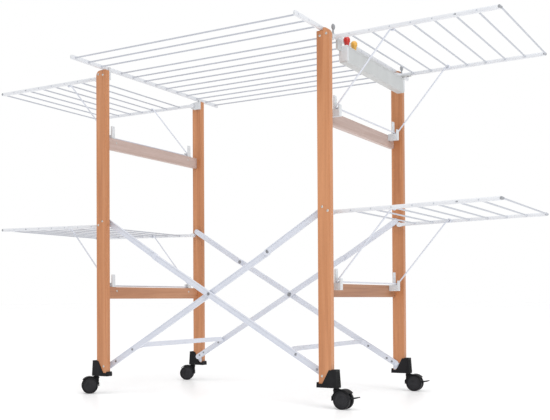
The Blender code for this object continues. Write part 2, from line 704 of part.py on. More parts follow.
# ---------------------------------------------------------------- peg box and pegs
BOX_X = (SPAN + 0.0000, SPAN + 0.0250)
BOX_Y = (0.0615, DEPTH - 0.0615)
BOX_Z = (0.8655, 0.9110)
WALL = 0.0016
shell = block((BOX_X[0], BOX_Y[0], BOX_Z[0]), (BOX_X[1], BOX_Y[1], BOX_Z[1]), 0.0035, 3)
hollow = block((BOX_X[0] + WALL, BOX_Y[0] + WALL, BOX_Z[0] + WALL),
               (BOX_X[1] - WALL, BOX_Y[1] - WALL, BOX_Z[1] + 0.020), 0.0025, 2)
rim = block((BOX_X[0] - 0.0012, BOX_Y[0] - 0.0012, BOX_Z[1] - 0.0045),
            (BOX_X[1] + 0.0012, BOX_Y[1] + 0.0012, BOX_Z[1] - 0.0010), 0.0006, 1)
webs, wing_tabs = [], []
for row in ROWS:
    web = block((BOX_X[0] + 0.0010, WING_RAIL_Y[1] + GAP, 0.8980),
                (BOX_X[0] + 0.0080, BOX_Y[0] + 0.0030, 0.9235), 0.0008)
    wing_tab = block((BOX_X[0] + 0.0016, WING_RAIL_Y[1] + 2 * GAP, 0.9196),
                     (BOX_X[0] + 0.0400, BOX_Y[0] - 0.0040, 0.9229), 0.0008)
    webs.append(web if row == "near" else mirror_y(web))
    if row == "far":
        wing_tabs.append(mirror_y(wing_tab))
hinge = world(SPAN - WING_PIVOT["upper"][0], MID_Y, WING_PIVOT["upper"][1])
node("peg_box", "grey_plastic", [shell, rim, together(*webs), together(*wing_tabs)], [hollow], origin=hinge)


def peg(y):
    """Push-on clothes peg: round head and two legs."""
    x = (BOX_X[0] + BOX_X[1]) / 2
    low = BOX_Z[0] + WALL + GAP
    high = low + 0.0745
    head = 0.0092
    profile = [(0.0, 0.0), (0.0, 0.0046), (0.004, 0.0062), (0.030, 0.0062), (0.048, 0.0060), (0.055, 0.0072),
               (0.060, 0.0086), (0.0655, head), (0.070, 0.0078), (0.0733, 0.0045), (0.0745, 0.0)]
    body = turned(profile, 16)
    body = moved(body, Matrix.Translation((x, y, low)) @ Matrix.Rotation(math.pi / 2, 4, "X"))
    slot = block((x - 0.02, y - 0.0012, low - 0.01), (x + 0.02, y + 0.0012, high - 0.030))
    return [body], [slot]


for name, finish, y in (("peg_red", "red_plastic", 0.083), ("peg_yellow", "yellow_plastic", 0.130)):
    bodies, cuts = peg(y)
    node(name, finish, bodies, cuts, origin=hinge)
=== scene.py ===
"""Looks of the free-standing folding clothes airer: fine surfaces, materials, light and camera.

The ladder coordinates used below run x from the left ladder's outer face, y from the near posts' front
face and z from the post feet, in metres; spot() carries them to the row frame.
"""

import json
import math

import bmesh
import bpy
from mathutils import Matrix, Vector


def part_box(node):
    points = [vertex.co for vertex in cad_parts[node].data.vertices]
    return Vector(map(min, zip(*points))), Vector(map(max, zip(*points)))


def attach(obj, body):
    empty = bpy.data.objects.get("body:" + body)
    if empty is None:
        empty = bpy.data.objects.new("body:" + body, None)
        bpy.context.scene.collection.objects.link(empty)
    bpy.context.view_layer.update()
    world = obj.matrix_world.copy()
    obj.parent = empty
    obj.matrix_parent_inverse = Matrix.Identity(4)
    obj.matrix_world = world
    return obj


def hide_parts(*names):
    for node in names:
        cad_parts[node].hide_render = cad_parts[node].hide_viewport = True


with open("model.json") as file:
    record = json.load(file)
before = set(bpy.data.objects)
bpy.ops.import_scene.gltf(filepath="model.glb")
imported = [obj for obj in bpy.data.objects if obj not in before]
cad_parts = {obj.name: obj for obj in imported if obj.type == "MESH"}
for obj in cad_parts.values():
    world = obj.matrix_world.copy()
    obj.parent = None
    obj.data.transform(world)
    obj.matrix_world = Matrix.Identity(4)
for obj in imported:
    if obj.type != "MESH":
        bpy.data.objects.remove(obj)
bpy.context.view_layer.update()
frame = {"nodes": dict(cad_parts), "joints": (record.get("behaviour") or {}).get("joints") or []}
nodes = frame["nodes"]
joints = {j["name"]: j for j in frame["joints"]}

# ---------------------------------------------------------------- ladder coordinates
first_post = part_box("post_left_near")
LEFT, FRONT, FOOT = first_post[0].x, first_post[0].y, first_post[0].z
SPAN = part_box("post_right_near")[1].x - LEFT
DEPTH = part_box("post_left_far")[1].y - FRONT
POST_THICK = first_post[1].y - first_post[0].y
SIDES = ("left", "right")
ROWS = ("near", "far")
LEVELS = ("upper", "lower")


def spot(x, y, z):
    return Vector((LEFT + x, FRONT + y, FOOT + z))


def corner(side, row):
    """Matrix from near left ladder coordinates to the same place at another corner, in the row frame."""
    flip = Matrix.Identity(4)
    if side == "right":
        flip = Matrix.Translation((SPAN, 0, 0)) @ Matrix.Diagonal((-1.0, 1.0, 1.0, 1.0)) @ flip
    if row == "far":
        flip = Matrix.Translation((0, DEPTH, 0)) @ Matrix.Diagonal((1.0, -1.0, 1.0, 1.0)) @ flip
    return Matrix.Translation((LEFT, FRONT, FOOT)) @ flip


# ---------------------------------------------------------------- materials
def wired(name, rough, metal=0.0, coat=0.0, coat_rough=0.1, spec=0.5):
    mat = bpy.data.materials.new(name)
    mat.use_nodes = True
    tree = mat.node_tree
    shader = tree.nodes["Principled BSDF"]
    shader.inputs["Metallic"].default_value = metal
    shader.inputs["Roughness"].default_value = rough
    shader.inputs["Coat Weight"].default_value = coat
    shader.inputs["Coat Roughness"].default_value = coat_rough
    shader.inputs["Specular IOR Level"].default_value = spec
    return mat, tree, shader


def stretched(tree, scale, offset=(0.0, 0.0, 0.0)):
    coords = tree.nodes.new("ShaderNodeTexCoord")
    mapping = tree.nodes.new("ShaderNodeMapping")
    mapping.inputs["Scale"].default_value = scale
    mapping.inputs["Location"].default_value = offset
    tree.links.new(coords.outputs["Object"], mapping.inputs["Vector"])
    return mapping.outputs["Vector"]


def noise(tree, vector, scale, detail=3.0, rough=0.5, warp=0.0):
    n = tree.nodes.new("ShaderNodeTexNoise")
    n.inputs["Scale"].default_value = scale
    n.inputs["Detail"].default_value = detail
    n.inputs["Roughness"].default_value = rough
    n.inputs["Distortion"].default_value = warp
    tree.links.new(vector, n.inputs["Vector"])
    return n.outputs["Fac"]


def ramp(tree, value, stops):
    r = tree.nodes.new("ShaderNodeValToRGB")
    band = r.color_ramp
    while len(band.elements) < len(stops):
        band.elements.new(0.5)
    for element, (place, colour) in zip(band.elements, stops):
        element.position = place
        element.color = (*colour, 1.0)
    tree.links.new(value, r.inputs["Fac"])
    return r.outputs["Color"]


def between(tree, value, low, high, in_low=0.3, in_high=0.7):
    m = tree.nodes.new("ShaderNodeMapRange")
    m.inputs["From Min"].default_value = in_low
    m.inputs["From Max"].default_value = in_high
    m.inputs["To Min"].default_value = low
    m.inputs["To Max"].default_value = high
    tree.links.new(value, m.inputs["Value"])
    return m.outputs["Result"]


def mixed(tree, blend, factor, one, two):
    m = tree.nodes.new("ShaderNodeMix")
    m.data_type = "RGBA"
    m.blend_type = blend
    if isinstance(factor, float):
        m.inputs[0].default_value = factor
    else:
        tree.links.new(factor, m.inputs[0])
    for socket, value in ((m.inputs[6], one), (m.inputs[7], two)):
        if isinstance(value, tuple):
            socket.default_value = (*value, 1.0)
        else:
            tree.links.new(value, socket)
    return m.outputs[2]


def bumped(tree, shader, steps):
    last = None
    for height, strength, distance in steps:
        b = tree.nodes.new("ShaderNodeBump")
        b.inputs["Strength"].default_value = strength
        b.inputs["Distance"].default_value = distance
        tree.links.new(height, b.inputs["Height"])
        if last is not None:
            tree.links.new(last, b.inputs["Normal"])
        last = b.outputs["Normal"]
    tree.links.new(last, shader.inputs["Normal"])


def wood(name, along, seed, tone=1.0, painted_sheen=0.0):
    """Planed and varnished close-grained timber: long streaks, faint growth bands and short flecks, with a
    painted sheen blended into the colour.
    """
    mat, tree, shader = wired(name, 0.42, coat=0.22, coat_rough=0.28)
    shift = (seed * 0.37, seed * 0.53, seed * 0.71)

    def stretch(across, length):
        return stretched(tree, tuple(length if a == along else across for a in "XYZ"), shift)

    # this blends the warm timber towards a pinkish grey, a painted sheen: the varnish's reflection of the
    # white surroundings painted into the colour
    light, mid, dark = (tuple(tone * (w + (g - w) * painted_sheen) for w, g in zip(warm, sheen_tint)) for warm, sheen_tint in (
        ((0.640, 0.285, 0.130), (0.570, 0.455, 0.425)), ((0.575, 0.240, 0.100), (0.530, 0.415, 0.380)),
        ((0.480, 0.184, 0.072), (0.470, 0.350, 0.310))))
    bands = noise(tree, stretch(55.0, 1.6), 1.0, 4.0, 0.55, 0.9)
    streaks = noise(tree, stretch(420.0, 5.0), 1.0, 3.0, 0.6)
    flecks = noise(tree, stretch(1500.0, 130.0), 1.0, 2.0, 0.5)
    clouds = noise(tree, stretch(9.0, 3.0), 1.0, 2.0, 0.5)
    colour = ramp(tree, bands, [(0.30, dark), (0.47, mid), (0.62, light), (0.80, mid)])
    fine = ramp(tree, streaks, [(0.35, (0.86, 0.84, 0.81)), (0.60, (1.0, 1.0, 1.0))])
    colour = mixed(tree, "MULTIPLY", 0.75, colour, fine)
    dots = ramp(tree, flecks, [(0.30, (0.72, 0.66, 0.60)), (0.40, (1.0, 1.0, 1.0))])
    colour = mixed(tree, "MULTIPLY", 0.55, colour, dots)
    cloudy = ramp(tree, clouds, [(0.35, (0.93, 0.92, 0.91)), (0.65, (1.0, 1.0, 1.0))])
    colour = mixed(tree, "MULTIPLY", 0.8, colour, cloudy)
    tree.links.new(colour, shader.inputs["Base Color"])
    tree.links.new(between(tree, streaks, 0.48, 0.34), shader.inputs["Roughness"])
    bumped(tree, shader, [(streaks, 0.22, 0.0004), (flecks, 0.16, 0.0002)])
    return mat


def moulded(name, colour, rough, grain=1700.0, strength=0.16, drift=0.05, spec=0.5, coat=0.0):
    """Injection moulded plastic: faint flow marks, fine spark-eroded texture and uneven gloss."""
    mat, tree, shader = wired(name, rough, coat=coat, spec=spec)
    even = stretched(tree, (1.0, 1.0, 1.0))
    flow = noise(tree, stretched(tree, (1.0, 1.0, 0.35)), 28.0, 3.0, 0.5, 0.6)
    fine = noise(tree, even, grain, 2.0, 0.5)
    rub = noise(tree, even, 95.0, 4.0, 0.65)
    low = tuple(max(c * (1.0 - drift) - 0.002, 0.0) for c in colour)
    high = tuple(min(c * (1.0 + drift) + 0.002, 1.0) for c in colour)
    tree.links.new(ramp(tree, flow, [(0.30, low), (0.70, high)]), shader.inputs["Base Color"])
    tree.links.new(between(tree, rub, rough - 0.07, rough + 0.10), shader.inputs["Roughness"])
    bumped(tree, shader, [(fine, strength, 0.00025), (rub, 0.05, 0.0003)])
    return mat


def coated(name, colour, rough, peel=620.0):
    """Powder coat: orange peel, thin cool shading in the hollows and a little dust in the gloss."""
    mat, tree, shader = wired(name, rough, coat=0.12, coat_rough=0.2)
    even = stretched(tree, (1.0, 1.0, 1.0))
    skin = noise(tree, even, peel, 2.0, 0.45)
    patch = noise(tree, even, 16.0, 3.0, 0.5)
    specks = noise(tree, even, 2400.0, 1.0, 0.5)
    low = tuple(c * f for c, f in zip(colour, (0.945, 0.950, 0.962)))
    base = ramp(tree, patch, [(0.32, low), (0.66, colour)])
    speck = ramp(tree, specks, [(0.22, (0.88, 0.88, 0.88)), (0.30, (1.0, 1.0, 1.0))])
    tree.links.new(mixed(tree, "MULTIPLY", 0.35, base, speck), shader.inputs["Base Color"])
    tree.links.new(between(tree, patch, rough - 0.05, rough + 0.08), shader.inputs["Roughness"])
    bumped(tree, shader, [(skin, 0.08, 0.00016)])
    return mat


def plated(name, colour, rough):
    """Zinc plated steel with turning marks and dull spots."""
    mat, tree, shader = wired(name, rough, metal=1.0)
    even = stretched(tree, (1.0, 1.0, 1.0))
    marks = noise(tree, stretched(tree, (1500.0, 60.0, 1500.0)), 1.0, 3.0, 0.6)
    spots = noise(tree, even, 240.0, 3.0, 0.6)
    low = tuple(c * 0.72 for c in colour)
    tree.links.new(ramp(tree, spots, [(0.35, low), (0.60, colour)]), shader.inputs["Base Color"])
    tree.links.new(between(tree, marks, rough - 0.08, rough + 0.16), shader.inputs["Roughness"])
    bumped(tree, shader, [(marks, 0.18, 0.0001)])
    return mat


WHITE_STEEL = coated("white_powder_coat", (0.665, 0.690, 0.760), 0.40)
WHITE_RAIL = coated("white_rail_coat", (0.715, 0.730, 0.760), 0.38)
# the wires' white coat is coloured grey, darker than the rails: painted shade for wires seen from below
WIRE_COAT_PAINTED_SHADE = coated("wire_coat_painted_shade", (0.50, 0.52, 0.57), 0.38, 900.0)
WHITE_MOULD = moulded("white_moulding", (0.665, 0.685, 0.705), 0.44, spec=0.4)
GREY_MOULD = moulded("grey_moulding", (0.545, 0.56, 0.56), 0.45, 1300.0, 0.2, 0.03)
GREY_KNOB = moulded("grey_knob_moulding", (0.30, 0.31, 0.33), 0.38)
BLACK_MOULD = moulded("black_moulding", (0.011, 0.011, 0.0125), 0.46, 1500.0, 0.22, 0.25, 0.16)
TYRE_BLACK = moulded("tyre_black", (0.012, 0.012, 0.014), 0.42, 1100.0, 0.26, 0.30, 0.20)
DISC_BLACK = moulded("disc_black", (0.020, 0.020, 0.023), 0.36, 1900.0, 0.12, 0.20, 0.24)
RED_MOULD = moulded("red_moulding", (0.56, 0.018, 0.010), 0.26, 900.0, 0.08, 0.08, 0.5, 0.25)
YELLOW_MOULD = moulded("yellow_moulding", (0.76, 0.42, 0.07), 0.28, 900.0, 0.08, 0.07, 0.5, 0.25)
SCREW_STEEL = plated("zinc_plate", (0.72, 0.71, 0.68), 0.30)
RIVET_STEEL = plated("rivet_steel", (0.36, 0.37, 0.40), 0.36)


def paint(node, material):
    mesh = nodes[node].data
    mesh.materials.clear()
    mesh.materials.append(material)


# ---------------------------------------------------------------- shape helpers
def piece(name, bm, material, body, stands_for=(), angle=38.0, merge=True):
    if merge:
        bmesh.ops.remove_doubles(bm, verts=bm.verts[:], dist=1e-6)
    bmesh.ops.recalc_face_normals(bm, faces=bm.faces[:])
    mesh = bpy.data.meshes.new(name)
    bm.to_mesh(mesh)
    bm.free()
    mesh.shade_smooth()
    mesh.set_sharp_from_angle(angle=math.radians(angle))
    mesh.materials.append(material)
    obj = bpy.data.objects.new(name, mesh)
    bpy.context.scene.collection.objects.link(obj)
    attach(obj, body)
    if stands_for:
        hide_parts(*stands_for)
    return obj


def add(bm, other, matrix=None):
    """Copy one mesh into another."""
    if matrix is not None:
        other.transform(matrix)
    hold = bpy.data.meshes.new("hold")
    other.to_mesh(hold)
    other.free()
    bm.from_mesh(hold)
    bpy.data.meshes.remove(hold)


def skin(rings, closed=False, caps=True):
    bm = bmesh.new()
    rows = [[bm.verts.new(p) for p in ring] for ring in rings]
    count = len(rows)
    for i in range(count if closed else count - 1):
        one, two = rows[i], rows[(i + 1) % count]
        for k in range(len(one)):
            m = (k + 1) % len(one)
            bm.faces.new((one[k], one[m], two[m], two[k]))
    if caps and not closed:
        bm.faces.new(rows[0])
        bm.faces.new(rows[-1])
    return bm


def tube(points, radius, sides=12, closed=False, round_end=0.0):
    """Round wire along a path, with softened cut ends."""
    points = [Vector(p) for p in points]
    count = len(points)
    radii = [radius] * count
    if round_end and not closed:
        head = (points[1] - points[0]).normalized()
        tail = (points[-1] - points[-2]).normalized()
        points = [points[0], points[0] + head * round_end * 0.35, points[0] + head * round_end] + \
            points[1:-1] + [points[-1] - tail * round_end, points[-1] - tail * round_end * 0.35, points[-1]]
        radii = [radius * 0.55, radius * 0.86, radius] + [radius] * (count - 2) + \
            [radius, radius * 0.86, radius * 0.55]
        count = len(points)
    side = (points[1] - points[0]).orthogonal().normalized()
    rings = []
    for i in range(count):
        before = points[(i - 1) % count] if closed or i else points[0]
        after = points[(i + 1) % count] if closed or i < count - 1 else points[-1]
        head = (after - before).normalized()
        side = (side - head * side.dot(head)).normalized()
        other = head.cross(side)
        rings.append([points[i] + (side * math.cos(a) + other * math.sin(a)) * radii[i]
                      for a in (2 * math.pi * k / sides for k in range(sides))])
    return skin(rings, closed)


def turned(profile, sides=40):
    """Lathe (along, radius) pairs about +Z; a radius of zero closes the end."""
    bm = bmesh.new()
    rows = []
    for along, radius in profile:
        if radius < 1e-7:
            rows.append([bm.verts.new((0, 0, along))])
        else:
            angles = [2 * math.pi * k / sides for k in range(sides)]
            rows.append([bm.verts.new((radius * math.cos(a), radius * math.sin(a), along)) for a in angles])
    for one, two in zip(rows, rows[1:]):
        for k in range(sides):
            m = (k + 1) % sides
            if len(one) == 1:
                bm.faces.new((one[0], two[k], two[m]))
            elif len(two) == 1:
                bm.faces.new((one[k], one[m], two[0]))
            else:
                bm.faces.new((one[k], one[m], two[m], two[k]))
    return bm


def aimed(place, direction, turn=0.0):
    """Matrix that puts +Z along the direction at the place."""
    quat = Vector(direction).to_track_quat("Z", "Y")
    return Matrix.Translation(place) @ quat.to_matrix().to_4x4() @ Matrix.Rotation(turn, 4, "Z")


def rounded_box(low, high, edge=0.001, segments=3):
    bm = bmesh.new()
    bmesh.ops.create_cube(bm, size=1.0)
    low, high = Vector(low), Vector(high)
    size = high - low
    bm.transform(Matrix.Translation((low + high) / 2) @ Matrix.Diagonal((size.x, size.y, size.z, 1.0)))
    bmesh.ops.bevel(bm, geom=bm.edges[:], offset=edge, segments=segments, profile=0.5, affect="EDGES",
                    clamp_overlap=True)
    return bm


def pressed(outline, low, high, edge=0.0006, segments=2):
    """Outline of (x, z) points extruded along Y, its edges rounded."""
    bm = bmesh.new()
    one = [bm.verts.new((x, low, z)) for x, z in outline]
    two = [bm.verts.new((x, high, z)) for x, z in outline]
    bm.faces.new(one)
    bm.faces.new(two)
    for k in range(len(one)):
        m = (k + 1) % len(one)
        bm.faces.new((one[k], one[m], two[m], two[k]))
    bmesh.ops.recalc_face_normals(bm, faces=bm.faces[:])
    sharp = [e for e in bm.edges if e.calc_face_angle(0.0) > math.radians(35)]
    bmesh.ops.bevel(bm, geom=sharp, offset=edge, segments=segments, profile=0.5, affect="EDGES",
                    clamp_overlap=True)
    return bm


def section(wide, tall, radius, steps=4):
    """Rounded rectangle as (across, up) points."""
    out = []
    for cx, cy, start in ((1, 1, 0), (-1, 1, 90), (-1, -1, 180), (1, -1, 270)):
        for i in range(steps + 1):
            a = math.radians(start + 90 * i / steps)
            out.append((cx * (wide / 2 - radius) + radius * math.cos(a),
                        cy * (tall / 2 - radius) + radius * math.sin(a)))
    return out


def rail(start, end, up, wide, tall, radius=0.0022, nose=0.0022):
    """Rolled rail of rounded rectangular section with turned-in ends."""
    start, end, up = Vector(start), Vector(end), Vector(up)
    head = (end - start).normalized()
    across = head.cross(up).normalized()
    outline = section(wide, tall, radius)
    length = (end - start).length
    rings = []
    ends = [(nose * (1 - math.cos(a)), 1 - (nose / (tall / 2)) * (1 - math.sin(a)))
            for a in (math.radians(v) for v in (0, 22, 45, 68, 90))]
    middle = [(length * t, 1.0) for t in (0.25, 0.5, 0.75)]
    places = ends + middle + [(length - s, f) for s, f in reversed(ends)]
    for s, f in places:
        rings.append([start + head * s + across * (a * f) + up * (b * f) for a, b in outline])
    return skin(rings)


def weld_ring(place, direction, radius, length=0.0022):
    """Small swelling where a wire enters a rail."""
    profile = [(0.0, radius), (0.0, radius * 1.55), (length * 0.35, radius * 1.42),
               (length * 0.7, radius * 1.16), (length, radius * 1.01)]
    return add_matrix(turned(profile, 14), aimed(place, direction))


def add_matrix(bm, matrix):
    bm.transform(matrix)
    return bm


def screw_mesh(radius, height):
    """Pan head with a cross recess, flat side at z = 0."""
    profile = [(-0.0002, radius * 0.96), (height * 0.25, radius), (height * 0.55, radius * 0.93),
               (height * 0.82, radius * 0.72), (height * 0.96, radius * 0.42), (height, 0.0)]
    bm = turned([(-0.0002, 0.0)] + profile, 32)
    bmesh.ops.recalc_face_normals(bm, faces=bm.faces[:])
    mesh = bpy.data.meshes.new("pan_head")
    bm.to_mesh(mesh)
    bm.free()
    head = bpy.data.objects.new("pan_head", mesh)
    bpy.context.scene.collection.objects.link(head)
    arm, half = radius * 0.60, radius * 0.13
    tools = []
    for turn in (0.0, math.pi / 2):
        cut = rounded_box((-arm, -half, height * 0.35), (arm, half, height * 2.0), half * 0.4, 1)
        cut.transform(Matrix.Rotation(turn, 4, "Z"))
        tool_mesh = bpy.data.meshes.new("recess")
        cut.to_mesh(tool_mesh)
        cut.free()
        tool = bpy.data.objects.new("recess", tool_mesh)
        bpy.context.scene.collection.objects.link(tool)
        step = head.modifiers.new("recess", "BOOLEAN")
        step.operation = "DIFFERENCE"
        step.object = tool
        tools.append(tool)
    made = bpy.data.meshes.new_from_object(head.evaluated_get(bpy.context.evaluated_depsgraph_get()))
    for obj in (head, *tools):
        bpy.data.objects.remove(obj, do_unlink=True)
    return made


SCREW = screw_mesh(0.0034, 0.0017)


def screws(places):
    """Screw heads at (place, outward direction, turn)."""
    bm = bmesh.new()
    for place, direction, turn in places:
        one = bmesh.new()
        one.from_mesh(SCREW)
        add(bm, one, aimed(place, direction, turn))
    return bm


def rivet(place, direction, radius=0.0040, height=0.0013):
    profile = [(0.0, radius), (height * 0.35, radius * 0.98), (height * 0.70, radius * 0.80),
               (height * 0.92, radius * 0.50), (height * 0.80, radius * 0.30), (height * 0.78, 0.0)]
    return add_matrix(turned(profile, 24), aimed(place, direction))


def washer(place, direction, inner, outer, height):
    profile = [(0.0, inner), (0.0, outer), (height * 0.7, outer), (height, outer - height * 0.3),
               (height, inner + height * 0.3), (height * 0.7, inner), (0.0, inner)]
    return add_matrix(turned(profile, 28), aimed(place, direction))


# ---------------------------------------------------------------- timber
seed = 1
for side in SIDES:
    for row in ROWS:
        paint("post_%s_%s" % (side, row), wood("timber_post_%s_%s" % (side, row), "Z", seed,
                                               0.97 if row == "near" else 0.98))
        seed += 3
    for level in LEVELS:
        # painted sheen: strong on the upper bars and faint on the lower ones; the lower bars are also
        # darker, the right one most
        tone, painted_sheen = (1.0, 0.92) if level == "upper" else (0.86 if side == "left" else 0.72, 0.12)
        timber = wood("timber_bar_%s_%s" % (side, level), "Y", seed, tone, painted_sheen)
        paint("crossbar_%s_%s" % (side, level), timber)
        seed += 3

# ---------------------------------------------------------------- carried-over CAD nodes
for name in nodes:
    if name.startswith(("arm_", "link_", "tie_")):
        paint(name, WHITE_STEEL)
    elif name.startswith(("hook_", "top_clip_")):
        paint(name, WHITE_MOULD)
    elif name.startswith(("foot_", "castor_fork_", "brake_lever_")):
        paint(name, BLACK_MOULD)
    elif name.startswith("centre_pin"):
        paint(name, RIVET_STEEL)
    elif name == "peg_box":
        paint(name, GREY_MOULD)

# ---------------------------------------------------------------- screws, rivets and small fittings
POST_SCREWS = ((0.0084, 0.9325), (0.0276, 0.9290), (0.0237, 0.4713), (0.0076, 0.4601), (0.0275, 0.0207))
for side in SIDES:
    places = []
    for row in ROWS:
        carry = corner(side, row)
        out = Vector((0, -1, 0)) if row == "near" else Vector((0, 1, 0))
        for i, (u, z) in enumerate(POST_SCREWS):
            places.append((carry @ Vector((u, 0.0, z)), out, 0.4 + 0.9 * i))
    if side == "left":
        for level in LEVELS:
            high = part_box("crossbar_left_%s" % level)
            for y in (0.0735, DEPTH - 0.0735):
                places.append((Vector((high[1].x, FRONT + y, high[1].z - 0.0125)), Vector((1, 0, 0)), 0.7))
    piece("post_screws_%s" % side, screws(places), SCREW_STEEL, "ladder_%s" % side)

# small steel plates between the posts and the arms' ends
for side in SIDES:
    bm = bmesh.new()
    for row in ROWS:
        outline = [(0.0170, 0.0215), (0.0120, 0.0130), (0.0325, -0.0002), (0.0372, 0.0048), (0.0360, 0.0215),
                   (0.0275, 0.0262)]
        tab = pressed(outline, POST_THICK + 0.00002, POST_THICK + 0.00050, 0.00015, 1)
        tab.transform(corner(side, row))
        add(bm, tab)
    piece("foot_plates_%s" % side, bm, WHITE_STEEL, "ladder_%s" % side)

# rivets and washers of the crossing frames
PIN = (0.0275, 0.0207)      # low pin of an arm, in ladder coordinates
CENTRE_RISE = 0.22126       # low pin up to the centre pin
LINK_RIVET = 0.6690         # low pin to the link rivet, along the arm
ARM_THICK = 0.0056
RECESS = 0.0011             # depth of the pressed face of an arm
half = (SPAN / 2 - PIN[0], CENTRE_RISE)
half_length = math.hypot(*half)
along = (half[0] / half_length, half[1] / half_length)


def arm_point(arm, distance):
    x = PIN[0] + along[0] * distance
    return (x if arm == "b" else SPAN - x, PIN[1] + along[1] * distance)


for arm in "ab":
    bm = bmesh.new()
    for row in ROWS:
        low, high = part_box("arm_%s_%s" % (arm, row))
        if arm == "b":
            # the spacer behind the arm widens its box towards the post
            if row == "near":
                low = Vector((low.x, high.y - ARM_THICK, low.z))
            else:
                high = Vector((high.x, low.y + ARM_THICK, high.z))
        for distance in (0.030, 0.106):
            x, z = arm_point(arm, distance)
            y, out = (low.y, Vector((0, -1, 0))) if row == "near" else (high.y, Vector((0, 1, 0)))
            add(bm, rivet(Vector((LEFT + x, y - out.y * RECESS, FOOT + z)), out, 0.0036, 0.0012))
    strap = 0.0287 if arm == "a" else 0.0350
    for distance in (0.012, 0.032, 0.106):
        x, z = arm_point(arm, distance)
        for y, out in ((strap, Vector((0, 1, 0))), (DEPTH - strap, Vector((0, -1, 0)))):
            add(bm, rivet(spot(x, y, z) - out * 0.0001, out, 0.0036, 0.0012))
    piece("arm_rivets_%s" % arm, bm, RIVET_STEEL, "frame_%s" % arm)

for side, top in (("left", arm_point("a", LINK_RIVET)), ("right", arm_point("b", LINK_RIVET))):
    bm = bmesh.new()
    for row in ROWS:
        low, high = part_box("link_%s_%s" % (side, row))
        front = low.y if row == "near" else high.y
        if side == "left" and row == "near":
            front = high.y - ARM_THICK
        if side == "left" and row == "far":
            front = low.y + ARM_THICK
        outward = -1.0 if row == "near" else 1.0
        place = Vector((LEFT + top[0], front - outward * RECESS, FOOT + top[1]))
        if side == "right":
            add(bm, washer(place, (0, outward, 0), 0.0030, 0.0062, 0.0005))
            add(bm, rivet(place, (0, outward, 0), 0.0042, 0.0011))
        inside = Vector((LEFT + top[0], front - outward * ARM_THICK, FOOT + top[1]))
        if side == "left":
            add(bm, washer(inside, (0, -outward, 0), 0.0030, 0.0062, 0.0006))
            add(bm, rivet(inside, (0, -outward, 0), 0.0044, 0.0016))
    piece("link_rivets_%s" % side, bm, RIVET_STEEL, "links_%s" % side)

bm = bmesh.new()
for row in ROWS:
    low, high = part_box("arm_a_%s" % row)
    outward = -1.0 if row == "near" else 1.0
    face = low.y if row == "near" else high.y
    x, z = arm_point("a", LINK_RIVET)
    place = Vector((LEFT + x, face - outward * RECESS, FOOT + z))
    add(bm, washer(place, (0, outward, 0), 0.0030, 0.0060, 0.0004))
    add(bm, rivet(place, (0, outward, 0), 0.0040, 0.0010))
piece("end_rivets_a", bm, RIVET_STEEL, "frame_a")

# grey swivel knobs on the right ladder's clips
bm = bmesh.new()
for row in ROWS:
    knob = turned([(-0.0045, 0.0), (-0.0045, 0.0030), (-0.0036, 0.0045), (0.0, 0.0050), (0.0036, 0.0045),
                   (0.0045, 0.0030), (0.0045, 0.0)], 28)
    knob.transform(Matrix.Diagonal((0.9, 1.65, 1.0, 1.0)))
    knob.transform(Matrix.Rotation(math.radians(90), 4, "X"))
    knob.transform(Matrix.Translation((-0.0008, 0.0238, 0.9545)))
    knob.transform(corner("right", row))
    add(bm, knob)
    neck = rounded_box((-0.0024, 0.0215, 0.9360), (0.0012, 0.0255, 0.9500), 0.0008)
    neck.transform(corner("right", row))
    add(bm, neck)
piece("lift_knobs", bm, GREY_KNOB, "ladder_right")

